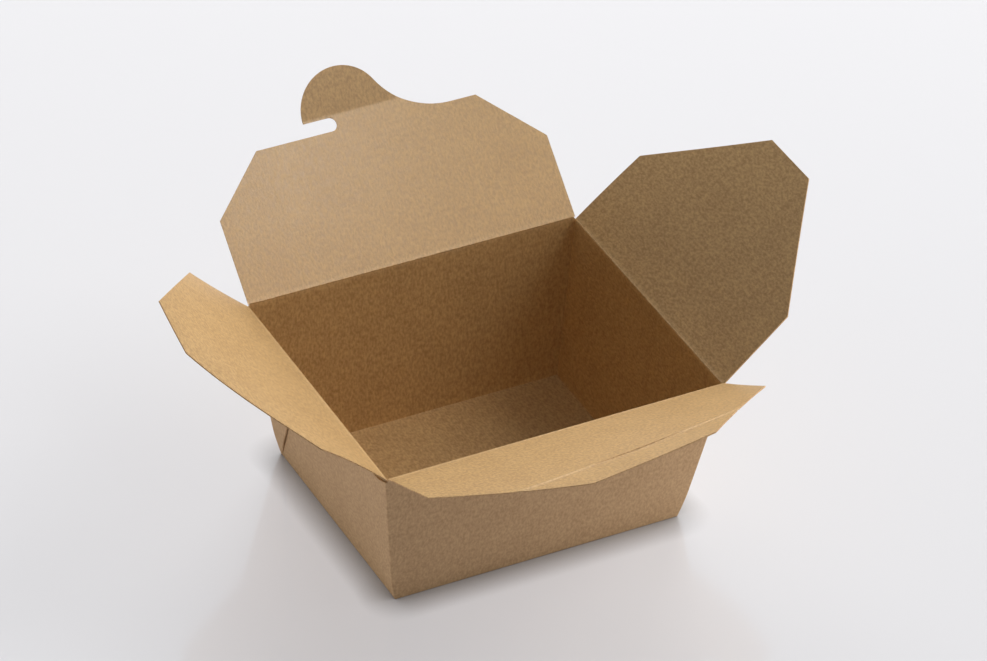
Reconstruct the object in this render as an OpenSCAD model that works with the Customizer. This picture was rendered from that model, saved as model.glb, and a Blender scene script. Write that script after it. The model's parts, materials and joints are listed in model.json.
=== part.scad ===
// Folded kraft board takeout box, standing open, with webbed leakproof corners.
// One die-cut blank: a tapered tray and four top flaps, each turning on its own crease.
// The origin is the middle of the underside. The front crease is at -Y, the lid crease at +Y.

/* [Tray] */
// Length of the mouth, from end crease to end crease
rim_w = 130; // [116:1:180]
// Depth of the mouth, from front crease to lid crease
rim_d = 110; // [96:1:150]
// Length of the base
base_w = 111; // [90:1:115]
// Depth of the base
base_d = 91; // [72:1:95]
// Height of the front and lid creases above the table
height = 62; // [52:1:90]
// Thickness of the board
board = 0.45; // [0.35:0.05:0.6]
// Corner radius at the rim, at the middle of the board
corner_r_rim = 2.2; // [1:0.1:3]
// Corner radius at the base, at the middle of the board
corner_r_base = 0.8; // [0.5:0.1:2]
// How far the end creases lie below the front and lid creases, so that the end flaps tuck under
end_drop = 0.9; // [0.8:0.1:3]

/* [Creases] */
// Radius of the rounded bead along a crease
crease_r = 0.3; // [0.2:0.05:0.4]
// Free gap between a bead and the edge of its flap
crease_gap = 0.3; // [0.2:0.05:0.5]
// Radius of the die-cut relief at each rim corner
relief_r = 1.6; // [1.2:0.1:3]

/* [Corner webs] */
// Distance from a base corner to the foot of the web's fold
web_foot = 1.25; // [0.5:0.25:4]
// Depth of a web's top edge below the end crease, at the rim corner
web_drop = 1.8; // [1.6:0.1:6]
// Slope of a web's top edge away from the rim corner, in degrees
web_fall = 9; // [0:1:20]

/* [End flaps] */
// Length of an end flap's straight sides
end_side = 32.4; // [20:0.1:45]
// Reach of an end flap from its crease to its outer edge
end_reach = 70.6; // [50:0.1:80]
// Length of an end flap's outer edge
end_tip = 27; // [10:1:60]
// Gap between an end flap's sides and the front and lid creases
end_play = 1.2; // [0.8:0.1:3]

/* [Front flap] */
// Length of the front flap's straight sides
front_side = 32; // [20:0.5:45]
// How far the front flap runs on past its slit
front_tuck = 18.6; // [8:0.1:25]
// Length of the front flap's outer edge
front_tip = 47; // [20:1:90]
// Width of the slit that takes the tongue
slit_w = 0.6; // [0.4:0.1:1.5]

/* [Lid flap] */
// Length of the lid flap's straight sides
lid_side = 31.3; // [20:0.1:40]
// Reach of the lid flap from its crease to its straight edge
lid_reach = 52.3; // [45:0.1:60]
// Length of the lid flap's straight edge
lid_tip = 87; // [80:1:105]
// Gap between the sides of the front and lid flaps and the end creases
long_play = 0.4; // [0.3:0.1:2]

/* [Tongue] */
// Radius of the tongue's round head
head_r = 16.2; // [10:0.1:20]
// Sideways place of the head's centre from the middle of the lid
head_x = -7.1; // [-12:0.1:0]
// Height of the head's centre above the notch's upper edge
head_rise = 1.3; // [0:0.1:5]
// Width of the notch under the hook
notch_w = 5.1; // [4:0.1:8]
// Sideways place of the notch's round end from the middle of the lid
notch_end = -11; // [-16:0.5:-4]
// Distance from the notch's upper edge to the tongue's crease
hook_root = 0.6; // [0.4:0.1:2]
// Place on the lid's straight edge where the tongue's swan neck runs out
neck_end = 33.3; // [24:0.1:39]
// Bend of the tongue towards the inside of the lid, in degrees
tongue_bend = 15; // [0:1:25]

/* [Open flaps] */
// Rise of the left end flap above the horizontal, in degrees
left_angle = 40; // [0:1:80]
// Rise of the right end flap above the horizontal, in degrees
right_angle = 39; // [0:1:80]
// Rise of the front flap above the horizontal, in degrees
front_angle = 28; // [0:1:80]
// Rise of the lid flap above the horizontal, in degrees
lid_angle = 41; // [0:1:80]

/* [Hidden] */

kraft = "#b08d66";
kraft_inside = "#bd9a70";

// Steps along each rounded corner, and the faces of a full round
arc_steps = 6;
round_fn = 48;
// Overlap of cutting tools past the board that they cut
past = 1;

// Lean of the end walls and of the front and back walls, from the vertical
lean_w = atan((rim_w - base_w) / 2 / height);
lean_d = atan((rim_d - base_d) / 2 / height);
// Half of the board's thickness, measured level across a leaning wall
half_w = board / 2 / cos(lean_w);
half_d = board / 2 / cos(lean_d);
// Height of the end creases
end_z = height - end_drop;

// A web is the blank's corner, folded in two and glued flat on the end wall.
// Its fold halves the angle that the two walls' side edges leave between them.
taper_end = atan((rim_d - base_d) / 2 * cos(lean_w) / height);
taper_front = atan((rim_w - base_w) / 2 * cos(lean_d) / height);
fold_angle = 90 + taper_end - (90 - taper_end - taper_front) / 2;
fold_run = 1 / (cos(lean_w) * tan(fold_angle));
web_layer = 2 * board / cos(lean_w);
web_z = end_z - web_drop;
web_y = base_d / 2 - web_foot;
apex_z = (web_z - (rim_d / 2 - web_y) * tan(web_fall)) / (1 + fold_run * tan(web_fall));
apex_y = web_y - apex_z * fold_run;
web_far = rim_d / 2 + past;

end_flap_w = rim_d - 2 * end_play;
long_flap_w = rim_w - 2 * long_play;

// The slit lies where the middle of the lid's notch lands when both flaps are shut
slit_v = rim_d - lid_reach - notch_w / 2;
front_reach = slit_v + front_tuck;
slit_len = 2 * head_r;
slit_x = notch_end - notch_w / 2 + slit_len / 2;

// The swan neck is an arc that leaves the lid's edge at neck_end and meets the round head
head_v = head_rise + notch_w;
neck_dx = neck_end - head_x;
neck_r = (neck_dx * neck_dx + head_v * head_v - head_r * head_r) / (2 * (head_r + head_v));
neck_v = lid_reach + neck_r;
head_cv = lid_reach + head_v;
tongue_v = lid_reach + notch_w + hook_root;
meet_x = head_x + neck_dx * head_r / (head_r + neck_r);
meet_v = head_cv + (neck_v - head_cv) * head_r / (head_r + neck_r);
tongue_far = 2 * head_r + notch_w;

function mid(low, high, z) = low + (high - low) * z / height;

// Points of a rounded rectangle w by d with corner radius r, at height z
function ring(w, d, r, z) = [
    for (corner = [0:3], step = [0:arc_steps])
        let (
            turn = 90 * (corner + step / arc_steps),
            side_x = corner == 0 || corner == 3 ? 1 : -1,
            side_y = corner < 2 ? 1 : -1
        )
        [side_x * (w / 2 - r) + r * cos(turn), side_y * (d / 2 - r) + r * sin(turn), z]
];

// Solid between two rings that have the same number of points
module loft(low, high) {
    n = len(low);
    polyhedron(
        points = concat(low, high),
        faces = concat(
            [[for (i = [0:n - 1]) i]],
            [[for (i = [0:n - 1]) 2 * n - 1 - i]],
            [for (i = [0:n - 1]) [i, n + i, n + (i + 1) % n, (i + 1) % n]]
        )
    );
}

// The tapered form from z0 to z1, grown past the middle of the board
module tapered(z0, z1, grow_w, grow_d, grow_r) {
    rings = [
        for (z = [z0, z1])
            ring(
                mid(base_w, rim_w, z) + 2 * grow_w,
                mid(base_d, rim_d, z) + 2 * grow_d,
                mid(corner_r_base, corner_r_rim, z) + grow_r,
                z
            )
    ];
    loft(rings[0], rings[1]);
}

// Side view of a web on the end wall, run through the whole length of the box
module web_prism() {
    rotate([90, 0, 90])
        linear_extrude(height = 2 * rim_w, center = true)
            polygon([
                [web_far, 0],
                [web_y, 0],
                [apex_y, apex_z],
                [web_far, web_z + (web_far - rim_d / 2) * tan(web_fall)]
            ]);
}

// Everything above the end creases, between the rim corners
module end_rim_cut() {
    for (side = [-1, 1])
        translate([side * rim_w / 2 - relief_r, relief_r - rim_d / 2 - crease_r, end_z])
            cube([2 * relief_r, rim_d - 2 * relief_r + 2 * crease_r, end_drop + past]);
}

// Die-cut reliefs that free the flaps at the rim corners
module corner_reliefs() {
    for (x = [-1, 1], y = [-1, 1])
        translate([x * rim_w / 2, y * rim_d / 2, web_z])
            cylinder(r = relief_r, h = height - web_z + past, $fn = round_fn);
}

// Rounded bead along a crease of the given length
module bead(length) {
    rotate([0, 90, 0])
        cylinder(r = crease_r, h = length, center = true, $fn = round_fn);
}

// Stands its children on one of the four rim creases: X along the crease, Y outwards in the flap
module on_crease(turn, run, z, angle = 0) {
    rotate([0, 0, turn])
        translate([0, run, z])
            rotate([angle, 0, 0])
                children();
}

module tray() {
    color(kraft) {
        difference() {
            union() {
                tapered(0, height, half_w, half_d, board / 2);
                intersection() {
                    tapered(0, height, half_w + web_layer, half_d, board);
                    union() {
                        web_prism();
                        mirror([0, 1, 0]) web_prism();
                    }
                }
            }
            tapered(board, height + past, -half_w, -half_d, -board / 2);
            end_rim_cut();
            corner_reliefs();
        }
        for (turn = [0, 180])
            on_crease(turn, rim_d / 2, height) bead(rim_w - 2 * relief_r);
        for (turn = [90, -90])
            on_crease(turn, rim_w / 2, end_z) bead(rim_d - 2 * relief_r);
    }
}

// Flap outline: straight sides, then slanting edges to a shorter outer edge
module flap_outline(width, side, reach, tip) {
    polygon([
        [-width / 2, 0],
        [width / 2, 0],
        [width / 2, side],
        [tip / 2, reach],
        [-tip / 2, reach],
        [-width / 2, side]
    ]);
}

// Hollows the edge of a flap along X, so that it turns round its crease bead
module crease_hollow(width) {
    difference() {
        children();
        rotate([0, 90, 0])
            cylinder(r = crease_r + crease_gap, h = width + 2 * past, center = true, $fn = round_fn);
    }
}

// Flat flap of board, cut to the outline given as a child
module flat_flap(width) {
    crease_hollow(width)
        linear_extrude(height = board, center = true)
            children();
}

module end_flap() {
    color(kraft_inside)
        flat_flap(end_flap_w)
            flap_outline(end_flap_w, end_side, end_reach, end_tip);
}

module left_flap() {
    on_crease(90, rim_w / 2, end_z, left_angle) end_flap();
}

module right_flap() {
    on_crease(-90, rim_w / 2, end_z, right_angle) end_flap();
}

// Width of the front flap at a distance v from its crease, past its straight sides
function front_width(v) =
    long_flap_w + (front_tip - long_flap_w) * (v - front_side) / (front_reach - front_side);

// Score across the front flap that carries the slit for the tongue
module front_score() {
    translate([0, slit_v, 0])
        difference() {
            bead(front_width(slit_v + crease_r) - 2 * crease_r);
            translate([-slit_x - slit_len / 2, -past, -past])
                cube([slit_len, 2 * past, 2 * past]);
        }
}

module front_flap() {
    color(kraft_inside)
        on_crease(180, rim_d / 2, height, front_angle) {
            flat_flap(long_flap_w)
                difference() {
                    flap_outline(long_flap_w, front_side, front_reach, front_tip);
                    translate([-slit_x - slit_len / 2, slit_v - slit_w / 2])
                        square([slit_len, slit_w]);
                }
            front_score();
        }
}

// The flat tongue: a round head that runs into the lid's edge in a swan neck
module tongue_outline() {
    translate([head_x, head_cv])
        circle(r = head_r, $fn = round_fn);
    difference() {
        polygon([
            [notch_end, lid_reach - past],
            [neck_end, lid_reach - past],
            [neck_end, lid_reach],
            [meet_x, meet_v],
            [head_x, head_cv]
        ]);
        translate([neck_end, neck_v])
            circle(r = neck_r, $fn = 2 * round_fn);
    }
}

// The notch under the hook, with a round inner end
module notch_outline() {
    translate([notch_end - notch_w / 2, lid_reach + notch_w / 2])
        circle(d = notch_w, $fn = round_fn);
    translate([notch_end - notch_w / 2 - tongue_far, lid_reach])
        square([tongue_far, notch_w]);
}

// Whole outline of the lid flap, seen square on to its flat part
module lid_outline() {
    difference() {
        union() {
            flap_outline(long_flap_w, lid_side, lid_reach, lid_tip);
            tongue_outline();
        }
        notch_outline();
    }
}

// Strip of board as wide as the lid, bent up along the tongue's crease
module bent_strip() {
    mitre = board / 2 * tan(tongue_bend / 2);
    run = tongue_far * cos(tongue_bend);
    rise = tongue_far * sin(tongue_bend);
    step_v = board / 2 * sin(tongue_bend);
    step_z = board / 2 * cos(tongue_bend);
    rotate([90, 0, 90])
        linear_extrude(height = long_flap_w + 2 * past, center = true)
            polygon([
                [0, -board / 2],
                [tongue_v + mitre, -board / 2],
                [tongue_v + run + step_v, rise - step_z],
                [tongue_v + run - step_v, rise + step_z],
                [tongue_v - mitre, board / 2],
                [0, board / 2]
            ]);
}

module lid_flap() {
    color(kraft_inside)
        on_crease(0, rim_d / 2, height, lid_angle)
            crease_hollow(long_flap_w)
                intersection() {
                    bent_strip();
                    linear_extrude(height = 2 * tongue_far, center = true)
                        lid_outline();
                }
}

tray();
left_flap();
right_flap();
front_flap();
lid_flap();
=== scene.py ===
"""Looks of a folding kraft board takeout box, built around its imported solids.

Each flap is drawn flat, as on the die-cut blank, and then folded up. The tray is drawn as it is folded.
Lengths are metres in the part's own frame: X along the long side, -Y to the front, Z up.
"""

import json
import math

import bmesh
import bpy
from bpy.props import FloatProperty, FloatVectorProperty, PointerProperty
from mathutils import Matrix, Vector


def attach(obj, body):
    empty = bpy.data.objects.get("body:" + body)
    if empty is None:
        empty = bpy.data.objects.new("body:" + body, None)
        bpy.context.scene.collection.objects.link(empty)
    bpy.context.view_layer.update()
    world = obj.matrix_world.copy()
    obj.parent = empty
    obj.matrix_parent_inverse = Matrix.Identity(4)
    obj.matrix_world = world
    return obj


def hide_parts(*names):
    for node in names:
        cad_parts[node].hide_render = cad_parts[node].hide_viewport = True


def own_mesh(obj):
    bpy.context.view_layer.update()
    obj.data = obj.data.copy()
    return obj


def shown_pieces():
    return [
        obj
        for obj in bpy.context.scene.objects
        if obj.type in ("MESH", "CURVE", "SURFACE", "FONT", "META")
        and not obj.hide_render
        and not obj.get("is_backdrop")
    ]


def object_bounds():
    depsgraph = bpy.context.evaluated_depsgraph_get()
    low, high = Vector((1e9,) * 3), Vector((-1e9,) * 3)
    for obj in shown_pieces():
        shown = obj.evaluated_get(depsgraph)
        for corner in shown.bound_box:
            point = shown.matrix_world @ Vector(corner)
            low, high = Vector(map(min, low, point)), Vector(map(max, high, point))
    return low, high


bl_info = {
    "name": "Kraft takeout box",
    "version": (1, 0, 0),
    "blender": (4, 5, 0),
    "location": "View3D > Sidebar > Takeout box",
    "description": "Builds a folding kraft board takeout box and its studio",
    "category": "Object",
}

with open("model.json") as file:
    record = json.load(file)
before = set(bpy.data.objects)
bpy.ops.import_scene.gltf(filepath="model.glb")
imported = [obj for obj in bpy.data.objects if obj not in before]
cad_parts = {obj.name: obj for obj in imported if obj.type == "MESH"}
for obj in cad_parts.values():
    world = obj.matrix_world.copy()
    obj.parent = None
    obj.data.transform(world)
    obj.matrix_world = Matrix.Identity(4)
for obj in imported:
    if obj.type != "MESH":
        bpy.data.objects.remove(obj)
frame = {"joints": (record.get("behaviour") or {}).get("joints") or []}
CAD_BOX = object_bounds()
HINGES = {joint["child"]: joint for joint in frame["joints"]}

MM = 0.001

# Half sizes of the mouth and the heights of its creases, from the hinges
RIM_X = abs(HINGES["right_flap"]["pos_m"][0])
RIM_Y = abs(HINGES["lid_flap"]["pos_m"][1])
LONG_Z = HINGES["lid_flap"]["pos_m"][2]
END_Z = HINGES["right_flap"]["pos_m"][2]

# Order of a piece's materials: the face of the board inside the box, the outer face, the cut edge
INSIDE, OUTSIDE, CUT_EDGE = range(3)
# What a mesh carries for its materials: its place on the flat blank, and how far a crease pales it, which is
# crease whitening and a painted highlight of the rounded crease
BLANK_UV = "blank"
CREASE_PALE_AND_HIGHLIGHT = "crease"


# Settings


def linear(hex_colour):
    """An sRGB hex colour as linear red, green and blue."""
    parts = [int(hex_colour[i : i + 2], 16) / 255 for i in (1, 3, 5)]
    return tuple(c / 12.92 if c <= 0.04045 else ((c + 0.055) / 1.055) ** 2.4 for c in parts)


def length(name, description, mm):
    """A length property, with its default in millimetres."""
    return FloatProperty(
        name=name, description=description, default=mm * MM, unit="LENGTH", precision=5
    )


def angle(name, description, degrees):
    """An angle property, with its default in degrees."""
    return FloatProperty(
        name=name, description=description, default=math.radians(degrees), subtype="ANGLE"
    )


def power(name, description, watts):
    """A lamp's power."""
    return FloatProperty(name=name, description=description, default=watts, unit="POWER")


def level(name, description, value):
    """A brightness."""
    return FloatProperty(name=name, description=description, default=value)


def bend(name, description, degrees):
    """A bend: in the middle of a flap, its change along the crease, and its change at both ends."""
    return FloatVectorProperty(
        name=name, description=description, default=[math.radians(d) for d in degrees], unit="ROTATION"
    )


def colour(name, description, hex_colour):
    """A colour property, with its default as an sRGB hex value."""
    return FloatVectorProperty(
        name=name, description=description, default=linear(hex_colour), subtype="COLOR", min=0, max=1
    )


class BoardSettings(bpy.types.PropertyGroup):
    """The board that the whole box is cut from."""

    thickness: length("Thickness", "Thickness of the board", 0.45)
    bead_r: length("Crease bead", "Radius of the rounded bead along a crease", 0.3)
    edge_round: length("Edge rounding", "Rounding of the cut edges", 0.06)
    inside_dark: colour("Inside, dark", "Darkest fibres of the inner face", "#a58357")
    inside_light: colour("Inside, light", "Lightest fibres of the inner face", "#c5a270")
    outside_dark: colour("Outside, dark", "Darkest fibres of the outer face", "#a78560")
    outside_light: colour("Outside, light", "Lightest fibres of the outer face", "#bf9d76")
    cut_edge: colour("Cut edge", "Middle of the board where it is cut", "#c9a57a")
    # The crease colour stands for stretched fibres and also for a painted highlight along the creases and
    # scored lines
    crease: colour("Crease", "Stretched fibres along a crease", "#d9b98d")


class TraySettings(bpy.types.PropertyGroup):
    """The tapered tray and its corner webs."""

    base_w: length("Base length", "Length of the base", 111)
    base_d: length("Base depth", "Depth of the base", 91)
    fold_r: length("Base fold", "Radius of the fold round the base", 0.3)
    corner_r: length("Corner fold", "Radius of the fold where a long wall turns into a web", 0.4)
    corner_cut: length("Corner cut", "Length at each end of a long wall whose top is cut away", 0.7)
    corner_drop: length("Corner drop", "Depth of the top edge below the end crease, round the corner", 0.5)
    web_foot: length("Web foot", "Distance from a base corner to the foot of the web's fold", 1.25)
    web_drop: length("Web drop", "Depth of a web's top edge below the end crease, at the corner", 1.8)
    web_fall: angle("Web fall", "Slope of a web's top edge away from the corner", 9)
    glue_gap: length("Glue line", "Gap between glued layers", 0.03)
    press_rise: length("Pressed foot", "Height up to which a web's layers are pressed together", 9)


class EndFlapSettings(bpy.types.PropertyGroup):
    """The two end flaps."""

    side: length("Side", "Length of the straight sides", 32.4)
    reach: length("Reach", "Crease to outer edge", 70.6)
    tip: length("Outer edge", "Length of the outer edge", 27)
    play: length("Play", "Gap at each side of the flap", 0.5)
    run_in: length("Run-in", "How far each straight side runs in, to pass between the long walls", 0.7)
    left_rise: angle("Left rise", "Rise of the left flap above the horizontal", 40)
    right_rise: angle("Right rise", "Rise of the right flap above the horizontal", 39)
    left_slope: bend("Left slope", "Extra rise at the left flap's crease", (-1.9, -1.7, 5.0))
    left_curl: bend("Left curl", "Curl of the left flap towards its outer edge", (1.0, 7.8, -3.4))
    right_slope: bend("Right slope", "Extra rise at the right flap's crease", (1.4, -0.4, 1.2))
    right_curl: bend("Right curl", "Curl of the right flap towards its outer edge", (-0.8, 2.0, -1.1))


class FrontFlapSettings(bpy.types.PropertyGroup):
    """The front flap with its scored line and slit."""

    side: length("Side", "Length of the straight sides", 32)
    reach: length("Reach", "Crease to outer edge", 73.8)
    tip: length("Outer edge", "Length of the outer edge", 47)
    play: length("Play", "Gap at each side of the flap", 0.1)
    rise: angle("Rise", "Rise of the flap above the horizontal", 28)
    slope: bend("Slope", "Extra rise at the flap's crease", (-1.7, -3.7, 1.3))
    curl: bend("Curl", "Curl of the flap towards its outer edge", (1.1, -1.8, 0.0))
    score_v: length("Score", "Distance of the scored line from the crease", 55.15)
    score_h: length("Score height", "Height of the ridge along the scored line", 0.22)
    slit_len: length("Slit length", "Length of the slit", 32.4)
    slit_w: length("Slit width", "Width of the slit", 0.5)
    slit_x: length("Slit place", "Place of the slit's middle along X", 2.65)
    slit_drop: length("Slit drop", "How far the outer lip of the slit hangs below the inner one", 0.35)


class LidFlapSettings(bpy.types.PropertyGroup):
    """The lid flap with its hooked tongue."""

    side: length("Side", "Length of the straight sides", 31.3)
    reach: length("Reach", "Crease to straight edge", 52.3)
    tip: length("Straight edge", "Length of the straight edge", 87)
    play: length("Play", "Gap at each side of the flap", 0.1)
    rise: angle("Rise", "Rise of the flap above the horizontal", 41)
    head_r: length("Tongue head", "Radius of the tongue's round head", 16.2)
    head_x: length("Head place", "Place of the head's centre along X", -7.1)
    head_rise: length("Head rise", "Height of the head's centre above the notch", 1.3)
    notch_w: length("Notch width", "Width of the notch under the hook", 5.1)
    notch_end: length("Notch end", "Place of the notch's round end along X", -11)
    neck_end: length("Neck end", "Place where the swan neck meets the lid's edge", 33.3)
    hook_root: length("Hook root", "Distance from the notch to the tongue's crease", 0.6)
    bend: angle("Tongue bend", "Bend of the tongue towards the inside", 15)
    bend_w: length("Bend width", "Width of the tongue's bend", 1.4)


class StudioSettings(bpy.types.PropertyGroup):
    """Camera, lamps and floor."""

    azimuth: angle("Azimuth", "Camera's turn round the box", -28.886)
    elevation: angle("Elevation", "Camera's height above the horizon", 36.302)
    roll: angle("Roll", "Camera's roll", 2.622)
    distance: length("Distance", "Camera to the point that it looks at", 2066.16)
    target_x: length("Target X", "Place along X of the point that the camera looks at", 18.736)
    target_y: length("Target Y", "Place along Y of the point that the camera looks at", 27.919)
    target_z: length("Target Z", "Height of the point that the camera looks at", 43.31)
    focal_px: FloatProperty(
        name="Focal length", description="Focal length in image pixels", default=5824.9, subtype="PIXEL"
    )
    key_power: power("Key lamp", "Power of the key lamp, high at the back", 48.5)
    fill_power: power("Fill lamp", "Power of the fill lamp, high at the right", 24.5)
    side_power: power("Side lamp", "Power of the low lamp at the left", 1.0)
    low_power: power("Low lamp", "Power of the low lamp at the front right", 0.085)
    card_power: power("Card", "Power of the card that the lid mirrors", 0.14)
    ambient: level("Ambient", "Brightness of the room's light", 0.25)
    floor: colour("Floor", "Colour of the floor", "#989899")
    glow_tint: colour("Glow tint", "Colour of the floor's glow", "#fcfbff")
    glow_front: level("Glow, front", "Glow of the floor before the box", 0.42)
    glow_back: level("Glow, back", "Glow of the floor far behind the box", 0.5)
    backdrop: colour("Backdrop", "Colour behind the floor", "#eeeeee")


SETTINGS = {
    "takeout_board": BoardSettings,
    "takeout_tray": TraySettings,
    "takeout_ends": EndFlapSettings,
    "takeout_front": FrontFlapSettings,
    "takeout_lid": LidFlapSettings,
    "takeout_studio": StudioSettings,
}


# Materials


# Kraft fibres are hair thin; they are drawn about two pixels of the render wide, so that they show
FIBRE_MM = 0.85
# Flocks of fibres, and clouds in the pulp
FLOCK_MM = 1.7
CLOUD_MM = 14
# How strongly each of these mottles the brown
FIBRE_TONE = 1.6
FLOCK_TONE = 1.2
CLOUD_TONE = 0.5
# Scale of the pattern along the fibres: less than 1 draws them longer than wide
ALONG_FIBRES = 0.6
# Finer copies within a pattern, and how strong each is beside the one before
PATTERN_DETAIL = 3.0
PATTERN_KEEP = 0.55
# A noise's mean, which is the middle of the board's tones
MIDDLE = 0.5
# Height of the fibres at full relief
FIBRE_RELIEF_MM = 0.05
# How far the roughness varies to each side of its mean
ROUGHNESS_SPREAD = 0.08
# Cellulose has an IOR of about 1.5; loose fibres break up some of its gloss
BOARD_IOR = 1.5
BOARD_SPECULAR = 0.35


def add_node(tree, kind, inputs=None, **settings):
    """Adds a node, sets its settings, and sets or links its inputs."""
    made = tree.nodes.new(kind)
    for name, value in settings.items():
        setattr(made, name, value)
    for name, value in (inputs or {}).items():
        if isinstance(value, bpy.types.NodeSocket):
            tree.links.new(value, made.inputs[name])
        else:
            made.inputs[name].default_value = value
    return made


def empty_tree(owner):
    """The emptied node tree of a material or a world."""
    owner.use_nodes = True
    owner.node_tree.nodes.clear()
    return owner.node_tree


def kraft(name, dark, light, crease, roughness, relief, shift):
    """Kraft board: long unbleached fibres, laid mostly along the blank's depth, that mottle the brown.

    relief is how strongly the fibres stand out of the face. shift moves the pattern, so that two faces of
    a sheet differ.
    """
    found = bpy.data.materials.get(name)
    if found:
        return found
    material = bpy.data.materials.new(name)
    tree = empty_tree(material)
    place = add_node(tree, "ShaderNodeUVMap", uv_map=BLANK_UV).outputs["UV"]
    grain = add_node(
        tree,
        "ShaderNodeMapping",
        {"Vector": place, "Location": (shift, shift, 0), "Scale": (1, ALONG_FIBRES, 1)},
    ).outputs["Vector"]
    even = add_node(
        tree, "ShaderNodeMapping", {"Vector": place, "Location": (shift, -shift, 0)}
    ).outputs["Vector"]
    patterns = (
        (grain, FIBRE_MM, FIBRE_TONE),
        (grain, FLOCK_MM, FLOCK_TONE),
        (even, CLOUD_MM, CLOUD_TONE),
    )
    tone = MIDDLE
    heights = []
    for vector, size, weight in patterns:
        noise = add_node(
            tree,
            "ShaderNodeTexNoise",
            {
                "Vector": vector,
                "Scale": 1 / (size * MM),
                "Detail": PATTERN_DETAIL,
                "Roughness": PATTERN_KEEP,
            },
            noise_dimensions="2D",
        ).outputs["Fac"]
        centred = add_node(
            tree, "ShaderNodeMath", {0: noise, 1: MIDDLE}, operation="SUBTRACT"
        ).outputs[0]
        tone = add_node(
            tree, "ShaderNodeMath", {0: centred, 1: weight, 2: tone}, operation="MULTIPLY_ADD"
        ).outputs[0]
        heights.append(noise)
    fibres, flocks, _ = heights
    ramp = add_node(tree, "ShaderNodeValToRGB", {"Fac": tone})
    for stop, shade in zip(ramp.color_ramp.elements, (dark, light)):
        stop.color = (*shade, 1)
    # Creases and scored lines mix the brown towards the crease colour: crease whitening and a painted
    # highlight of the rounded crease
    worn_and_highlit = add_node(tree, "ShaderNodeAttribute", attribute_name=CREASE_PALE_AND_HIGHLIGHT).outputs["Fac"]
    pale_and_highlight_share = add_node(tree, "ShaderNodeMath", {0: worn_and_highlit, 1: fibres}, operation="MULTIPLY").outputs[0]
    # Sockets 0, 6 and 7 of a Mix node are its factor and its two colours
    mixed = add_node(
        tree,
        "ShaderNodeMix",
        {0: pale_and_highlight_share, 6: ramp.outputs["Color"], 7: (*crease, 1)},
        data_type="RGBA",
    ).outputs[2]
    rough = add_node(
        tree,
        "ShaderNodeMapRange",
        {
            "Value": flocks,
            "To Min": roughness - ROUGHNESS_SPREAD,
            "To Max": roughness + ROUGHNESS_SPREAD,
        },
    ).outputs["Result"]
    bumped = add_node(
        tree,
        "ShaderNodeBump",
        {"Height": fibres, "Strength": relief, "Distance": FIBRE_RELIEF_MM * MM},
    ).outputs["Normal"]
    shader = add_node(
        tree,
        "ShaderNodeBsdfPrincipled",
        {
            "Base Color": mixed,
            "Roughness": rough,
            "Normal": bumped,
            "IOR": BOARD_IOR,
            "Specular IOR Level": BOARD_SPECULAR,
        },
    )
    add_node(tree, "ShaderNodeOutputMaterial", {"Surface": shader.outputs["BSDF"]})
    return material


def board_materials(scene):
    """The board's three surfaces, in the order INSIDE, OUTSIDE, CUT_EDGE."""
    board = scene.takeout_board
    crease = board.crease
    # Inside: kraft under a thin moisture barrier film, which gives it a satin face
    inside = kraft(
        "kraft_film_lined", board.inside_dark, board.inside_light, crease,
        roughness=0.42, relief=1.0, shift=0.0,
    )
    # Outside: uncoated machine-finished kraft, dull and a little greyer
    outside = kraft(
        "kraft_uncoated", board.outside_dark, board.outside_light, crease,
        roughness=0.72, relief=0.25, shift=0.31,
    )
    # Cut edge: torn fibre ends, rough and pale
    edge = kraft(
        "kraft_cut_edge", board.outside_dark, board.cut_edge, crease,
        roughness=0.85, relief=0.35, shift=0.57,
    )
    return [inside, outside, edge]


# Sheets of board


# Size of a sheet's cells
CELL = 4 * MM
# Steps along a round stretch of an outline
ARC_STEPS = 24
# Points that are this near to a cut lie on it
CUT_TOLERANCE = 1e-7
# Distance from the crease at which a flap's curl is given
BEND_SPAN = 70 * MM
# How pale the board is on a rim crease, from 0 to 1, and how far from it this reaches: crease whitening and
# a painted highlight of the rounded crease
HINGE_PALE_AND_HIGHLIGHT = 0.8
HINGE_PALE_AND_HIGHLIGHT_W = 2 * MM
# Lines beside a rim crease along which a flap is cut finely, so that the crease whitening and painted
# highlight show
HINGE_CUTS = [step * MM for step in (0.4, 0.8, 1.2, 1.6, 2)]
# Half width of a scored line and of its wear
SCORE_W = 0.9 * MM
# A cut edge turns by more than this many degrees, and each step of a fold by less
EDGE_TURN = 50
# Full weight: large faces alone give the normals, so that they stay flat beside the rounded edges
FACE_WEIGHT = 100


def spread(start, end, cells):
    """Evenly spaced values from start to end, both included."""
    return [start + (end - start) * i / cells for i in range(cells + 1)]


def steps_between(low, high, step=CELL):
    """Evenly spaced values strictly between low and high, about a step apart."""
    return spread(low, high, max(1, round((high - low) / step)))[1:-1]


def arc(centre, radius, start, end, steps=ARC_STEPS):
    """Points along an arc from the start angle to the end angle, both ends included."""
    turns = spread(start, end, steps)
    return [(centre[0] + radius * math.cos(t), centre[1] + radius * math.sin(t)) for t in turns]


def hill(distance, width):
    """1 at no distance, falling smoothly to 0 at the width."""
    x = min(abs(distance) / width, 1)
    return (1 - x * x) ** 2


def hinge_pale_and_highlight(v):
    """Crease whitening and painted highlight of the board at a distance from its rim crease."""
    return HINGE_PALE_AND_HIGHLIGHT * hill(v, HINGE_PALE_AND_HIGHLIGHT_W)


def flap_outline(half, side, reach, tip, edge=(), run_in=0):
    """Outline of a flap: u along its crease, v outwards.

    half is half the length of the crease. edge adds points along the outer edge. run_in is how far the
    straight sides run in.
    """
    far = half - run_in
    return [(-half, 0), (half, 0), (far, side), (tip / 2, reach), *edge, (-tip / 2, reach), (-far, side)]


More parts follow.
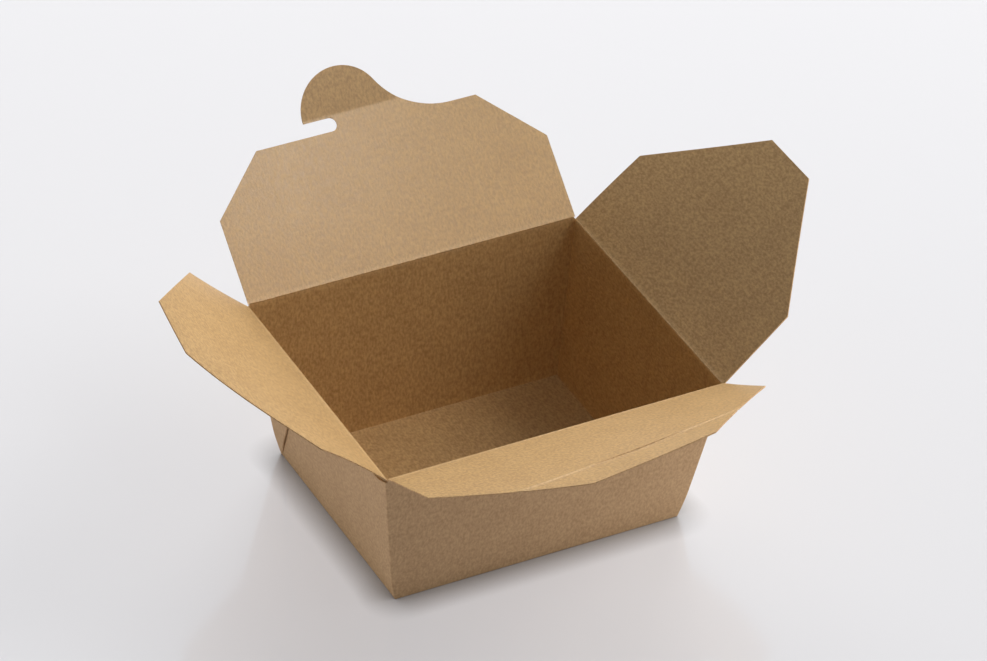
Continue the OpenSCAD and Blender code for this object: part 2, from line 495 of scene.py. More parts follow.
def flat_sheet(outline, cuts_u, cuts_v):
    """A flat mesh of the outline, cut into cells along the given lines."""
    sheet = bmesh.new()
    sheet.faces.new([sheet.verts.new((u, v, 0)) for u, v in outline])
    for normal, cuts in (((1, 0, 0), cuts_u), ((0, 1, 0), cuts_v)):
        for cut in cuts:
            bmesh.ops.bisect_plane(
                sheet,
                geom=sheet.verts[:] + sheet.edges[:] + sheet.faces[:],
                dist=CUT_TOLERANCE,
                plane_co=Vector(normal) * cut,
                plane_no=normal,
            )
    return sheet


def crease_place(node, rise):
    """Matrix of a flap's own frame: X along the crease, Y outwards in the flap, Z from its inner face."""
    origin = Vector(HINGES[node]["pos_m"])
    outwards = Vector((origin.x, origin.y, 0)).normalized()
    up = Vector((0, 0, 1))
    along = outwards.cross(up)
    run = outwards * math.cos(rise) + up * math.sin(rise)
    made = Matrix((along, run, along.cross(run))).transposed().to_4x4()
    made.translation = origin
    return made


def blank_turn(node):
    """The flap's turn on the flat blank, and how far its crease lies from the blank's middle."""
    tray = bpy.context.scene.takeout_tray
    x, y, z = HINGES[node]["pos_m"]
    run = abs(x) + abs(y)
    base = (tray.base_w if abs(x) > abs(y) else tray.base_d) / 2
    return math.atan2(-x, y), base + math.hypot(run - base, z)


def fold_up(sheet, node, rise, shape, worn_and_highlit):
    """Marks the flat sheet with its blank coordinates and its paling by creases, then folds it into place.

    shape gives (out, lift) for a flat point (u, v). The last argument gives its paling by a crease: crease
    whitening and a painted highlight.
    """
    turn, run = blank_turn(node)
    on_blank = Matrix.Rotation(turn, 2)
    uv = sheet.loops.layers.uv.new(BLANK_UV)
    wear_and_highlight = sheet.verts.layers.float.new(CREASE_PALE_AND_HIGHLIGHT)
    for face in sheet.faces:
        face.smooth = True
        for loop in face.loops:
            u, v, _ = loop.vert.co
            loop[uv].uv = on_blank @ Vector((u, run + v))
    place = crease_place(node, rise)
    for vert in sheet.verts:
        u, v, _ = vert.co
        vert[wear_and_highlight] = worn_and_highlit(u, v)
        vert.co = place @ Vector((u, *shape(u, v)))


def bent(u, v, half, slope, curl):
    """(out, lift) of a point (u, v) on a flap that bends by the given slope and curl."""
    s = u / half
    rise = slope[0] + slope[1] * s + slope[2] * s * s
    growth = curl[0] + curl[1] * s + curl[2] * s * s
    lift = v * rise + v * v / BEND_SPAN * growth
    return math.sqrt(v * v - lift * lift), lift


def add_piece(name, sheet, materials):
    """Makes an object of the sheet, with the given materials."""
    mesh = bpy.data.meshes.new(name)
    sheet.to_mesh(mesh)
    sheet.free()
    for material in materials:
        mesh.materials.append(material)
    piece = bpy.data.objects.new(name, mesh)
    bpy.context.scene.collection.objects.link(piece)
    return piece


def finish_board(sheet, node):
    """Turns a folded sheet into a piece of board that rides on the node's body and stands for its solid."""
    scene = bpy.context.scene
    board = scene.takeout_board
    piece = add_piece(node + "_board", sheet, board_materials(scene))
    thick = piece.modifiers.new("Board", "SOLIDIFY")
    thick.thickness = board.thickness
    thick.offset = 0
    thick.material_offset = OUTSIDE
    thick.material_offset_rim = CUT_EDGE
    rounding = piece.modifiers.new("Cut edges", "BEVEL")
    rounding.width = board.edge_round
    rounding.segments = 1
    rounding.limit_method = "ANGLE"
    rounding.angle_limit = math.radians(EDGE_TURN)
    normals = piece.modifiers.new("Flat faces", "WEIGHTED_NORMAL")
    normals.weight = FACE_WEIGHT
    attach(piece, node)
    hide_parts(node)
    return piece


# Tray


# Cells along half a long wall, along half an end wall, along a web and up a wall
LONG_CELLS = 17
END_CELLS = 15
WEB_CELLS = 8
WALL_ROWS = 22
# Steps round a corner, round a web's folds and round the fold of the base
TURN_STEPS = 6
FOLD_STEPS = 6
BASE_STEPS = 4
# Depths of a wall's last rows below the rim, where the crease whitening and painted highlight show
TOP_ROWS = [step * MM for step in (2, 1.2, 0.7, 0.3)]
# Layers of a web, counted from the end wall
INNER = 1
OUTER = 2
# Height of a web's foot above the table
WEB_FOOT_Z = 0.25 * MM
# Share of its thickness that a web keeps at its foot, where the blank's corner is pressed hardest
FOOT_PRESS = 0.06
# Points that are this near to a wall lie on it
WALL_TOLERANCE = 1e-6
# The quarters of the tray in order round it, as signs of X and Y
QUARTERS = ((1, -1), (1, 1), (-1, 1), (-1, -1))


class TrayForm:
    """Sizes of the tray at any height, for the quarter with positive X and Y."""

    def __init__(self, tray, board):
        self.tray = tray
        self.board = board
        self.lean_x = math.atan((RIM_X - tray.base_w / 2) / LONG_Z)
        self.lean_y = math.atan((RIM_Y - tray.base_d / 2) / LONG_Z)
        self.foot_z = board / 2 + tray.fold_r
        self.web_z = END_Z - tray.web_drop
        self.layer = (board + tray.glue_gap) / math.cos(self.lean_x)
        taper_end = math.atan((RIM_Y - tray.base_d / 2) * math.cos(self.lean_x) / LONG_Z)
        taper_long = math.atan((RIM_X - tray.base_w / 2) * math.cos(self.lean_y) / LONG_Z)
        # The web's fold halves the angle that the flat blank has between the edges of the two walls
        half_web = (math.pi / 2 - taper_end - taper_long) / 2
        fold_angle = math.pi / 2 + taper_end - half_web
        self.fold_run = 1 / (math.cos(self.lean_x) * math.tan(fold_angle))
        self.web_slope = math.tan(tray.web_fall)
        self.web_y = tray.base_d / 2 - tray.web_foot

    def half_x(self, z):
        """Half length of the tray at a height."""
        return self.tray.base_w / 2 + (RIM_X - self.tray.base_w / 2) * z / LONG_Z

    def half_y(self, z):
        """Half depth of the tray at a height."""
        return self.tray.base_d / 2 + (RIM_Y - self.tray.base_d / 2) * z / LONG_Z

    def off_wall(self, z, layers):
        """Distance of a web's layer from the end wall: the layers are pressed together towards the foot."""
        return layers * self.layer * (FOOT_PRESS + (1 - FOOT_PRESS) * min(z / self.tray.press_rise, 1))

    def web_top(self, y):
        """Height of a web's top edge."""
        return self.web_z + (y - RIM_Y) * self.web_slope

    def fold_y(self, share):
        """Place of the web's fold at a share of the web's height."""
        z = share * self.web_top(self.web_y) / (1 + share * self.fold_run * self.web_slope)
        return self.web_y - z * self.fold_run

    def quarter(self, share):
        """One row of the folded sheet at a share of its height, from the middle of a long wall,
        round the corner, along both layers of the web and to the middle of the end wall.

        Gives for each point its place, its distance along the blank and whether it lies on the end wall.
        """
        tray = self.tray
        turn_r = tray.corner_r
        fold_r = self.layer / 2
        long_z = self.foot_z + share * (LONG_Z - self.foot_z)
        corner_z = WEB_FOOT_Z + share * (END_Z - tray.corner_drop - WEB_FOOT_Z)
        end_z = self.foot_z + share * (END_Z - self.foot_z)
        row = []
        for x in spread(0, self.half_x(long_z) - tray.corner_cut, LONG_CELLS):
            row.append((x, self.half_y(long_z), long_z))
        out = self.half_x(corner_z) + self.off_wall(corner_z, OUTER)
        corner_y = self.half_y(corner_z)
        for a, b in arc((out - turn_r, corner_y - turn_r), turn_r, math.pi / 2, 0, TURN_STEPS):
            row.append((a, b, corner_z))
        turn_y = self.fold_y(share) + fold_r
        shut_y = corner_y - self.board / 2 - tray.glue_gap - fold_r
        path = [(y, OUTER) for y in spread(corner_y - turn_r, turn_y, WEB_CELLS)[1:]]
        path += half_turn(turn_y, OUTER, fold_r, math.pi / 2, math.pi * 1.5)
        path += [(y, INNER) for y in spread(turn_y, shut_y, WEB_CELLS)[1:]]
        for y, layers in path:
            z = WEB_FOOT_Z + share * (self.web_top(y) - WEB_FOOT_Z)
            row.append((self.half_x(z) + self.off_wall(z, layers), y, z))
        last_web = len(row)
        shut = half_turn(shut_y, INNER, fold_r, math.pi / 2, -math.pi / 2)
        for (y, layers), z in zip(shut, spread(row[-1][2], end_z, FOLD_STEPS)[1:]):
            row.append((self.half_x(z) + self.off_wall(z, layers), y, z))
        for y in spread(shut_y, 0, END_CELLS)[1:]:
            row.append((self.half_x(end_z), y, end_z))
        points = [Vector(point) for point in row]
        runs = [0]
        for a, b in zip(points, points[1:]):
            runs.append(runs[-1] + (b - a).xy.length)
        return [(point, run, i >= last_web) for i, (point, run) in enumerate(zip(points, runs))]


def half_turn(y, layer, radius, start, end):
    """Points (y, layers off the wall) round the fold from a layer to the one under it, without the first."""
    middle = layer - 0.5
    turns = spread(start, end, FOLD_STEPS)[1:]
    return [(y + radius * math.cos(t), middle + math.sin(t) / 2) for t in turns]


def fold_walls(sheet, form, uv, wear_and_highlight):
    """Walls and webs as one closed loop of sheet, turned in along the base and closed by the floor."""
    top_shares = [1 - depth / LONG_Z for depth in TOP_ROWS]
    rows = []
    for share in [*spread(0, 1 - CELL / LONG_Z, WALL_ROWS), *top_shares, 1]:
        quarter = form.quarter(share)
        row = []
        for turn, (sx, sy) in enumerate(QUARTERS):
            part = [(Vector((p.x * sx, p.y * sy, p.z)), run * sx, end) for p, run, end in quarter]
            row += (part if turn % 2 == 0 else part[::-1])[:-1]
        rows.append([(sheet.verts.new(co), run, end) for co, run, end in row])
        for vert, _, end in rows[-1]:
            # The top of each wall pales towards the rim crease: crease whitening and a painted highlight
            on_wall = end or abs(vert.co.x) < form.half_x(vert.co.z)
            vert[wear_and_highlight] = hinge_pale_and_highlight((1 - share) * LONG_Z) if on_wall else 0
    columns = len(rows[0])
    for lower, upper in zip(rows, rows[1:]):
        for i in range(columns):
            j = (i + 1) % columns
            add_wall_face(sheet, form, uv, (lower[i], upper[i], upper[j], lower[j]))
    lay_base(sheet, form, uv, rows[0])


def add_wall_face(sheet, form, uv, corners):
    """One cell of the wall, with its place on the flat blank."""
    face = sheet.faces.new([vert for vert, _, _ in corners])
    face.smooth = True
    on_end = all(end for _, _, end in corners)
    for loop, (vert, run, _) in zip(face.loops, corners):
        x, y, z = vert.co
        if on_end:
            slant = form.tray.base_w / 2 + z / math.cos(form.lean_x)
            loop[uv].uv = (math.copysign(slant, x), y)
        else:
            slant = form.tray.base_d / 2 + z / math.cos(form.lean_y)
            loop[uv].uv = (run, math.copysign(slant, y))


def walls_at_foot(form, foot):
    """Says of each point of the lowest row whether it lies on a long wall, on an end wall or on neither."""
    low_x, low_y = form.half_x(form.foot_z), form.half_y(form.foot_z)
    long_end = low_x - form.tray.corner_cut + WALL_TOLERANCE
    end_end = low_y - form.tray.corner_cut
    walls = []
    for vert, _, end in foot:
        x, y = abs(vert.co.x), abs(vert.co.y)
        if abs(y - low_y) < WALL_TOLERANCE and x <= long_end:
            walls.append("long")
        elif end and abs(x - low_x) < WALL_TOLERANCE and y <= end_end:
            walls.append("end")
        else:
            walls.append("")
    return walls


def lay_base(sheet, form, uv, foot):
    """Folds the feet of the four walls in and lays the floor between them."""
    fold_r = form.tray.fold_r
    walls = walls_at_foot(form, foot)
    verts = [vert for vert, _, _ in foot]
    strips = []
    for vert, wall in zip(verts, walls):
        if not wall:
            continue
        x, y, z = vert.co
        column = [vert]
        for turn in spread(0, math.pi / 2, BASE_STEPS)[1:]:
            inset = fold_r * (1 - math.cos(turn))
            drop = fold_r * math.sin(turn)
            if wall == "long":
                co = (x, y - math.copysign(inset, y), z - drop)
            else:
                co = (x - math.copysign(inset, x), y, z - drop)
            column.append(sheet.verts.new(co))
        strips.append(column)
    laid = [sheet.faces.new([column[-1] for column in strips])]
    for a, b in zip(strips, strips[1:] + strips[:1]):
        for step in range(BASE_STEPS):
            laid.append(sheet.faces.new((a[step + 1], a[step], b[step], b[step + 1])))
            laid[-1].smooth = True
    laid += close_corners(sheet, verts, walls)
    for face in laid:
        for loop in face.loops:
            loop[uv].uv = loop.vert.co.xy


def close_corners(sheet, foot, walls):
    """Closes the bottom of the pocket that the sheet's turn leaves at each base corner."""
    made = []
    count = len(foot)
    for i in range(count):
        for way in (1, -1):
            if walls[i] != "long" or walls[(i + way) % count]:
                continue
            # From the long wall's last point round the corner, and across to the end wall's first one
            turn = [foot[(i + way * step) % count] for step in range(TURN_STEPS + 2)]
            past = i + way
            while not walls[past % count]:
                past += way
            face = sheet.faces.new([*turn, foot[past % count]])
            face.normal_update()
            if face.normal.z < 0:
                face.normal_flip()
            made.append(face)
    return made


class BuildTray(bpy.types.Operator):
    """Folds up the base, the walls and the corner webs"""

    bl_idname = "takeout_box.tray"
    bl_label = "Tray"

    def execute(self, context):
        form = TrayForm(context.scene.takeout_tray, context.scene.takeout_board.thickness)
        sheet = bmesh.new()
        uv = sheet.loops.layers.uv.new(BLANK_UV)
        wear_and_highlight = sheet.verts.layers.float.new(CREASE_PALE_AND_HIGHLIGHT)
        fold_walls(sheet, form, uv, wear_and_highlight)
        finish_board(sheet, "tray")
        return {"FINISHED"}


# Rim creases


BEAD_SIDES = 16
# Share of its radius that a bead keeps at its rounded ends
BEAD_END = 0.4


class BuildRimCreases(bpy.types.Operator):
    """Runs a rounded bead along each rim crease"""

    bl_idname = "takeout_box.rim_creases"
    bl_label = "Rim creases"

    def execute(self, context):
        scene = context.scene
        sheet = bmesh.new()
        uv = sheet.loops.layers.uv.new(BLANK_UV)
        for node, hinge in HINGES.items():
            along_x, along_y, _ = hinge["axis"]
            half = (RIM_Y if abs(along_y) > abs(along_x) else RIM_X) - scene.takeout_tray.corner_cut
            self.run_bead(sheet, crease_place(node, 0), half, scene.takeout_board.bead_r)
        for face in sheet.faces:
            face.smooth = True
            for loop in face.loops:
                loop[uv].uv = loop.vert.co.xy
        piece = add_piece("rim_creases", sheet, [board_materials(scene)[INSIDE]])
        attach(piece, "tray")
        return {"FINISHED"}

    def run_bead(self, sheet, place, half, radius):
        """One bead along the X axis of the place, closed at both ends."""
        full = [-half + radius / 2, *steps_between(-half, half), half - radius / 2]
        rows = []
        for u, share in ((-half, BEAD_END), *((u, 1) for u in full), (half, BEAD_END)):
            ring = arc((0, 0), radius * share, 0, 2 * math.pi, BEAD_SIDES)[:-1]
            rows.append([sheet.verts.new(place @ Vector((u, y, z))) for y, z in ring])
        for a, b in zip(rows, rows[1:]):
            for i in range(BEAD_SIDES):
                j = (i + 1) % BEAD_SIDES
                sheet.faces.new((a[i], a[j], b[j], b[i]))
        sheet.faces.new(rows[0][::-1])
        sheet.faces.new(rows[-1])


# Flaps


# Lines beside the front flap's score along which it is cut finely, and the room that they take
SCORE_CUTS = [step * MM for step in (-4, -2, -1.2, -0.8, -0.5, 0, 0.5, 0.8, 1.2, 2, 4)]
SCORE_ROOM = 5 * MM
# How far beyond the slit its outer lip hangs
LIP_RUN = 8 * MM
# Paling of the tongue's crease, crease whitening and a painted highlight, beside 1 on a scored line
TONGUE_PALE_AND_HIGHLIGHT = 0.4
# Lines across the tongue's bend, as shares of its width, and the room that they take on each side
BEND_CUTS = (-0.5, -0.3, -0.1, 0.1, 0.3, 0.5)
BEND_ROOM = 2 * MM
# Steps round the tongue's head and round the notch's end
HEAD_STEPS = 48
NOTCH_STEPS = 12


def flatten_shut(piece, node, rise):
    """Gives the flap a mesh of its own; the bowed flap is not flattened as it is shut."""
    hinge = HINGES[node]
    normal = crease_place(node, rise).col[2].to_3d()
    tuple(hinge["pos_m"])
    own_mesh(piece)


class BuildEndFlaps(bpy.types.Operator):
    """Cuts and raises the two end flaps"""

    bl_idname = "takeout_box.end_flaps"
    bl_label = "End flaps"

    def execute(self, context):
        ends = context.scene.takeout_ends
        self.raise_flap("left_flap", ends, ends.left_rise, ends.left_slope, ends.left_curl)
        self.raise_flap("right_flap", ends, ends.right_rise, ends.right_slope, ends.right_curl)
        return {"FINISHED"}

    def raise_flap(self, node, ends, rise, slope, curl):
        """Cuts one end flap and raises it with its bend."""
        half = RIM_Y - ends.play
        sheet = flat_sheet(
            flap_outline(half, ends.side, ends.reach, ends.tip, run_in=ends.run_in),
            steps_between(-half, half),
            [*HINGE_CUTS, *steps_between(HINGE_CUTS[-1], ends.reach)],
        )

        def shape(u, v):
            return bent(u, v, half, slope, curl)

        fold_up(sheet, node, rise, shape, lambda u, v: hinge_pale_and_highlight(v))
        flatten_shut(finish_board(sheet, node), node, rise)


class BuildFrontFlap(bpy.types.Operator):
    """Cuts, scores and raises the front flap"""

    bl_idname = "takeout_box.front_flap"
    bl_label = "Front flap"

    def execute(self, context):
        front = context.scene.takeout_front
        half = RIM_X - front.play
        score = front.score_v
        slit_u = -front.slit_x
        slit_ends = (slit_u - front.slit_len / 2, slit_u + front.slit_len / 2)
        lips = (score - front.slit_w / 2, score + front.slit_w / 2)
        sheet = flat_sheet(
            flap_outline(half, front.side, front.reach, front.tip),
            [*slit_ends, *steps_between(-half, half)],
            [
                *HINGE_CUTS,
                *steps_between(HINGE_CUTS[-1], score - SCORE_ROOM),
                *(score + step for step in SCORE_CUTS),
                *lips,
                *steps_between(score + SCORE_ROOM, front.reach),
            ],
        )
        slit = []
        for face in sheet.faces:
            u, v, _ = face.calc_center_median()
            if slit_ends[0] < u < slit_ends[1] and lips[0] < v < lips[1]:
                slit.append(face)
        bmesh.ops.delete(sheet, geom=slit, context="FACES")

        def shape(u, v):
            out, rising = bent(u, v, half, front.slope, front.curl)
            rising += front.score_h * hill(v - score, SCORE_W)
            if v > score:
                beside = hill(u - slit_u, front.slit_len / 2)
                rising -= front.slit_drop * beside * hill(v - score, LIP_RUN)
            return out, rising

        # Pales the flap along its rim crease and scored line: crease whitening and a painted highlight
        def worn_and_highlit(u, v):
            return max(hinge_pale_and_highlight(v), hill(v - score, SCORE_W))

        fold_up(sheet, "front_flap", front.rise, shape, worn_and_highlit)
        flatten_shut(finish_board(sheet, "front_flap"), "front_flap", front.rise)
        return {"FINISHED"}


class BuildLidFlap(bpy.types.Operator):
    """Cuts and raises the lid flap with its hooked tongue"""

    bl_idname = "takeout_box.lid_flap"
    bl_label = "Lid flap"

    def execute(self, context):
        lid = context.scene.takeout_lid
        half = RIM_X - lid.play
        tongue_v = lid.reach + lid.notch_w + lid.hook_root
        sheet = flat_sheet(
            flap_outline(half, lid.side, lid.reach, lid.tip, self.tongue(lid)),
            steps_between(-half, half),
            [
                *HINGE_CUTS,
                *steps_between(HINGE_CUTS[-1], tongue_v - BEND_ROOM),
                *(tongue_v + lid.bend_w * share for share in BEND_CUTS),
                *steps_between(tongue_v + BEND_ROOM, lid.reach + 2 * lid.head_r),
            ],
        )
        start = tongue_v - lid.bend_w / 2
        bend_r = lid.bend_w / lid.bend

        def shape(u, v):
            if v <= start:
                return v, 0
            turn = min((v - start) / bend_r, lid.bend)
            rest = max(v - start - lid.bend_w, 0)
            out = start + bend_r * math.sin(turn) + rest * math.cos(turn)
            return out, bend_r * (1 - math.cos(turn)) + rest * math.sin(turn)

        # Pales the flap along its rim crease and the tongue's crease: crease whitening and a painted
        # highlight
        def worn_and_highlit(u, v):
            return max(hinge_pale_and_highlight(v), TONGUE_PALE_AND_HIGHLIGHT * hill(v - tongue_v, SCORE_W))

        fold_up(sheet, "lid_flap", lid.rise, shape, worn_and_highlit)
        finish_board(sheet, "lid_flap")
        return {"FINISHED"}

    def tongue(self, lid):
        """Points from the swan neck over the round head and back along the notch."""
        head = (lid.head_x, lid.reach + lid.notch_w + lid.head_rise)
        rise = lid.head_rise + lid.notch_w
        run = lid.neck_end - lid.head_x
        neck_r = (run * run + rise * rise - lid.head_r**2) / (2 * (lid.head_r + rise))
        neck = (lid.neck_end, lid.reach + neck_r)
        to_neck = math.atan2(neck[1] - head[1], neck[0] - head[0])
        hook = math.pi + math.asin(lid.head_rise / lid.head_r)
        notch_r = lid.notch_w / 2
        notch = (lid.notch_end - notch_r, lid.reach + notch_r)
        return [
            *arc(neck, neck_r, -math.pi / 2, to_neck - math.pi),
            *arc(head, lid.head_r, to_neck, hook, HEAD_STEPS)[1:],
            *arc(notch, notch_r, math.pi / 2, -math.pi / 2, NOTCH_STEPS),
        ]


# Studio


# The camera: width of the image in pixels, width of its sensor in millimetres, and how far it sees
IMAGE_W = 987
SENSOR_W = 36.0
FAR_CLIP = 100
# Where each lamp hangs as seen from its aim, how far away, and the length of its sides
LAMPS = {
    "key": {"towards": (0.42, 0.82, 0.4), "distance": 2.0, "size": 1.4},
    "fill": {"towards": (0.72, -0.1, 0.65), "distance": 2.0, "size": 1.4},
    "side": {"towards": (-0.98, 0.1, 0.14), "distance": 0.62, "size": 0.16},
    "low": {"towards": (0.7, -0.7, 0.17), "distance": 0.23, "size": 0.06},
    "card": {"towards": (0.39, -0.49, 0.78), "distance": 0.2, "size": 0.05},
}
# Point of the lid that the small bright card is aimed at: only the box mirrors it, as a sheen on the lid
CARD_AIM = (-48 * MM, 101 * MM, 102 * MM)
# The room's soft light: its mean level, and how it grows towards the right and the back
ROOM_LEVEL = 0.82
ROOM_BRIGHTER = (0.6, 0.15, 0.0)
# What glossy surfaces mirror: the white room, and one broad screen with soft edges, high at the front right
MIRROR_LEVEL = 0.6
SCREEN_TOWARDS = (0.35, -0.42, 0.84)
SCREEN_GAIN = 7.0
SCREEN_FALL = 8
# Half size of the floor, and its polish
FLOOR_HALF = 4.0
FLOOR_ROUGHNESS = 0.1
# Above the 1.49 of acrylic, so that the box is mirrored as clearly as in the photograph
FLOOR_IOR = 1.95
# Distance from the box's middle over which the floor's glow grows towards the back
GLOW_RUN = 0.45
# Share of the glow that the floor casts on the box
GLOW_CAST = 0.62
# Painted contact shadow: distance over which the floor's glow darkens towards what stands on it, how
# steeply, and the rays that find it
CONTACT_RUN = 12 * MM
CONTACT_STEEP = 2.0
CONTACT_RAYS = 8


class SetStudio(bpy.types.Operator):
    """Sets the floor, the lamps and the camera"""

    bl_idname = "takeout_box.studio"
    bl_label = "Studio"

    def execute(self, context):
        scene = context.scene
        studio = scene.takeout_studio
        scene.view_settings.view_transform = "Standard"
        self.lay_floor(scene, studio)
        self.set_world(scene, studio)
        self.hang_lamp(scene, "key", studio.key_power)
        self.hang_lamp(scene, "fill", studio.fill_power)
        self.hang_lamp(scene, "side", studio.side_power)
        low = self.hang_lamp(scene, "low", studio.low_power)
        card = self.hang_card(scene, studio)
        self.light_box_alone((low, card))
        self.place_camera(scene, studio)
        return {"FINISHED"}

    def lay_floor(self, scene, studio):
        """Lays the glowing floor that the box stands on."""
        mesh = bpy.data.meshes.new("floor")
        half = FLOOR_HALF
        corners = [(-half, -half, 0), (half, -half, 0), (half, half, 0), (-half, half, 0)]
        mesh.from_pydata(corners, [], [(0, 1, 2, 3)])
        floor = bpy.data.objects.new("floor", mesh)
        scene.collection.objects.link(floor)
        mesh.materials.append(self.light_table(studio))
        floor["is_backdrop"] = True

    def light_table(self, studio):
        """Polished opal acrylic over lamps: it glows more towards the back, and its glow is darkened beside
        what stands on it as a painted contact shadow.
        It mirrors the box in its smooth top."""
        material = bpy.data.materials.new("acrylic_sheet")
        tree = empty_tree(material)
        place = add_node(tree, "ShaderNodeTexCoord").outputs["Object"]
        depth = add_node(tree, "ShaderNodeSeparateXYZ", {"Vector": place}).outputs["Y"]
        glow = add_node(
            tree,
            "ShaderNodeMapRange",
            {
                "Value": depth,
                "From Min": -GLOW_RUN,
                "From Max": GLOW_RUN,
                "To Min": studio.glow_front,
                "To Max": studio.glow_back,
            },
        ).outputs["Result"]
        open_sky = add_node(
            tree, "ShaderNodeAmbientOcclusion", {"Distance": CONTACT_RUN}, samples=CONTACT_RAYS
        ).outputs["AO"]
        steep = add_node(
            tree, "ShaderNodeMath", {0: open_sky, 1: CONTACT_STEEP}, operation="POWER"
        ).outputs[0]
        shaded = add_node(tree, "ShaderNodeMath", {0: glow, 1: steep}, operation="MULTIPLY").outputs[0]
        path = add_node(tree, "ShaderNodeLightPath").outputs
        seen = add_node(
            tree,
            "ShaderNodeMath",
            {0: path["Is Camera Ray"], 1: path["Is Glossy Ray"]},
            operation="MAXIMUM",
        ).outputs[0]
        share = add_node(
            tree, "ShaderNodeMath", {0: seen, 1: 1 - GLOW_CAST, 2: GLOW_CAST}, operation="MULTIPLY_ADD"
        ).outputs[0]
        emitted = add_node(tree, "ShaderNodeMath", {0: shaded, 1: share}, operation="MULTIPLY").outputs[0]
        shader = add_node(
            tree,
            "ShaderNodeBsdfPrincipled",
            {
                "Base Color": (*studio.floor, 1),
                "Roughness": FLOOR_ROUGHNESS,
                "IOR": FLOOR_IOR,
                "Emission Color": (*studio.glow_tint, 1),
                "Emission Strength": emitted,
            },
        )
        add_node(tree, "ShaderNodeOutputMaterial", {"Surface": shader.outputs["BSDF"]})
        return material

    def set_world(self, scene, studio):
        """Sets the room's light, what glossy surfaces mirror, and the backdrop that the camera sees."""
        world = bpy.data.worlds.new("studio")
        scene.world = world
        tree = empty_tree(world)
        path = add_node(tree, "ShaderNodeLightPath").outputs
        mirrored = add_node(
            tree,
            "ShaderNodeMath",
            {0: path["Is Glossy Ray"], 1: path["Is Transmission Ray"]},
            operation="MAXIMUM",
        ).outputs[0]
        towards = add_node(tree, "ShaderNodeTexCoord").outputs["Generated"]
        across = add_node(
            tree, "ShaderNodeVectorMath", {0: towards, 1: ROOM_BRIGHTER}, operation="DOT_PRODUCT"
        ).outputs["Value"]
        uneven = add_node(tree, "ShaderNodeMath", {0: across, 1: ROOM_LEVEL}, operation="ADD").outputs[0]
        dimmed = add_node(
            tree, "ShaderNodeMath", {0: uneven, 1: studio.ambient}, operation="MULTIPLY"
        ).outputs[0]
        facing = add_node(
            tree, "ShaderNodeVectorMath", {0: towards, 1: SCREEN_TOWARDS}, operation="DOT_PRODUCT"
        ).outputs["Value"]
        near = add_node(tree, "ShaderNodeMath", {0: facing, 1: 0.0}, operation="MAXIMUM").outputs[0]
        screen = add_node(tree, "ShaderNodeMath", {0: near, 1: SCREEN_FALL}, operation="POWER").outputs[0]
        white = add_node(
            tree, "ShaderNodeMath", {0: screen, 1: SCREEN_GAIN, 2: MIRROR_LEVEL}, operation="MULTIPLY_ADD"
        ).outputs[0]
        # Sockets 0, 2 and 3 of a Mix node are its factor and its two numbers
        strength = add_node(tree, "ShaderNodeMix", {0: mirrored, 2: dimmed, 3: white}).outputs[0]
        room = add_node(tree, "ShaderNodeBackground", {"Color": (1, 1, 1, 1), "Strength": strength})
        behind = add_node(tree, "ShaderNodeBackground", {"Color": (*studio.backdrop, 1), "Strength": 1.0})
        both = add_node(
            tree,
            "ShaderNodeMixShader",
            {0: path["Is Camera Ray"], 1: room.outputs[0], 2: behind.outputs[0]},
        )
        add_node(tree, "ShaderNodeOutputWorld", {"Surface": both.outputs[0]})

    def hang_lamp(self, scene, name, watts):
        """Hangs a soft square lamp where LAMPS says, aimed at the middle of the base."""
        place = LAMPS[name]
        towards = Vector(place["towards"]).normalized()
        lamp = bpy.data.lights.new(name, "AREA")
        lamp.energy = watts
        lamp.size = place["size"]
        holder = bpy.data.objects.new(name, lamp)
        holder.location = towards * place["distance"]
        holder.rotation_euler = towards.to_track_quat("Z", "Y").to_euler()
        # The polished floor would mirror the lamp as a hard-edged glare
        holder.visible_glossy = False
        holder.visible_camera = False
        scene.collection.objects.link(holder)
        return holder

    def hang_card(self, scene, studio):
        """Hangs the card, which is mirrored but lights nothing else."""
        card = self.hang_lamp(scene, "card", studio.card_power)
        card.location += Vector(CARD_AIM)
        card.visible_glossy = True
        card.visible_diffuse = False
        return card

    def light_box_alone(self, lamps):
        """Keeps the light of the given lamps to the box's pieces."""
        receivers = bpy.data.collections.new("lit_pieces")
        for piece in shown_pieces():
            receivers.objects.link(piece)
        for lamp in lamps:
            lamp.light_linking.receiver_collection = receivers

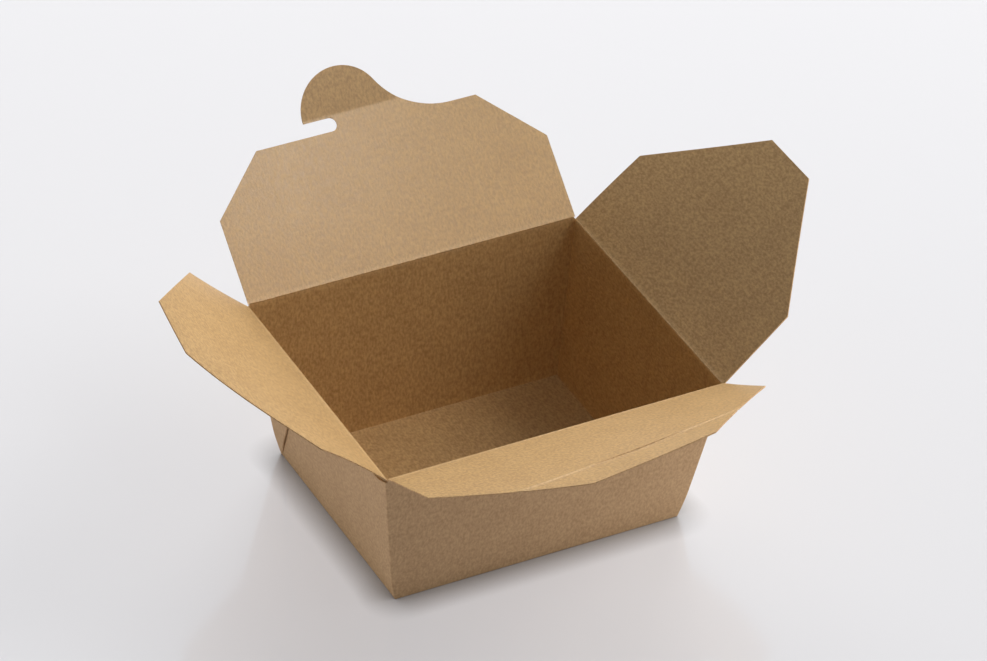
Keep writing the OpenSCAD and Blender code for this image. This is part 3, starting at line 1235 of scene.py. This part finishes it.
    def place_camera(self, scene, studio):
        """Places the camera at the photograph's viewing angle."""
        camera = bpy.data.cameras.new("camera")
        camera.sensor_width = SENSOR_W
        camera.lens = studio.focal_px * camera.sensor_width / IMAGE_W
        camera.clip_end = FAR_CLIP
        holder = bpy.data.objects.new("camera", camera)
        a, e = studio.azimuth, studio.elevation
        back = Vector((math.sin(a) * math.cos(e), -math.cos(a) * math.cos(e), math.sin(e)))
        right = Vector((math.cos(a), math.sin(a), 0))
        turned = Matrix((right, back.cross(right), back)).transposed() @ Matrix.Rotation(studio.roll, 3, "Z")
        target = Vector((studio.target_x, studio.target_y, studio.target_z))
        holder.matrix_world = Matrix.Translation(target + back * studio.distance) @ turned.to_4x4()
        scene.collection.objects.link(holder)
        scene.camera = holder


# Add-on


OPERATORS = (BuildTray, BuildRimCreases, BuildEndFlaps, BuildFrontFlap, BuildLidFlap, SetStudio)
# Properties that every group has from Blender
INHERITED = ("rna_type", "name")


class TakeoutBoxPanel(bpy.types.Panel):
    """Lists the steps that build the box, and their settings"""

    bl_idname = "VIEW3D_PT_takeout_box"
    bl_label = "Takeout box"
    bl_space_type = "VIEW_3D"
    bl_region_type = "UI"
    bl_category = "Takeout box"

    def draw(self, context):
        for operator in OPERATORS:
            self.layout.operator(operator.bl_idname)
        for name in SETTINGS:
            settings = getattr(context.scene, name)
            column = self.layout.column(align=True)
            for prop in settings.bl_rna.properties:
                if prop.identifier not in INHERITED:
                    column.prop(settings, prop.identifier)


CLASSES = (*SETTINGS.values(), *OPERATORS, TakeoutBoxPanel)


def register():
    """Registers the classes and hangs the settings on the scene."""
    for cls in CLASSES:
        bpy.utils.register_class(cls)
    for name, group in SETTINGS.items():
        setattr(bpy.types.Scene, name, PointerProperty(type=group))


def unregister():
    """Takes everything back off again."""
    for name in SETTINGS:
        delattr(bpy.types.Scene, name)
    for cls in reversed(CLASSES):
        bpy.utils.unregister_class(cls)


def main():
    """Builds the box and its studio."""
    register()
    bpy.ops.takeout_box.tray()
    bpy.ops.takeout_box.rim_creases()
    bpy.ops.takeout_box.end_flaps()
    bpy.ops.takeout_box.front_flap()
    bpy.ops.takeout_box.lid_flap()
    bpy.ops.takeout_box.studio()
    bpy.context.view_layer.update()
    boxes = {"cad": CAD_BOX, "visual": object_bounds()}
    {name: [list(corner) for corner in box] for name, box in boxes.items()}


if __name__ == "__main__":
    main()
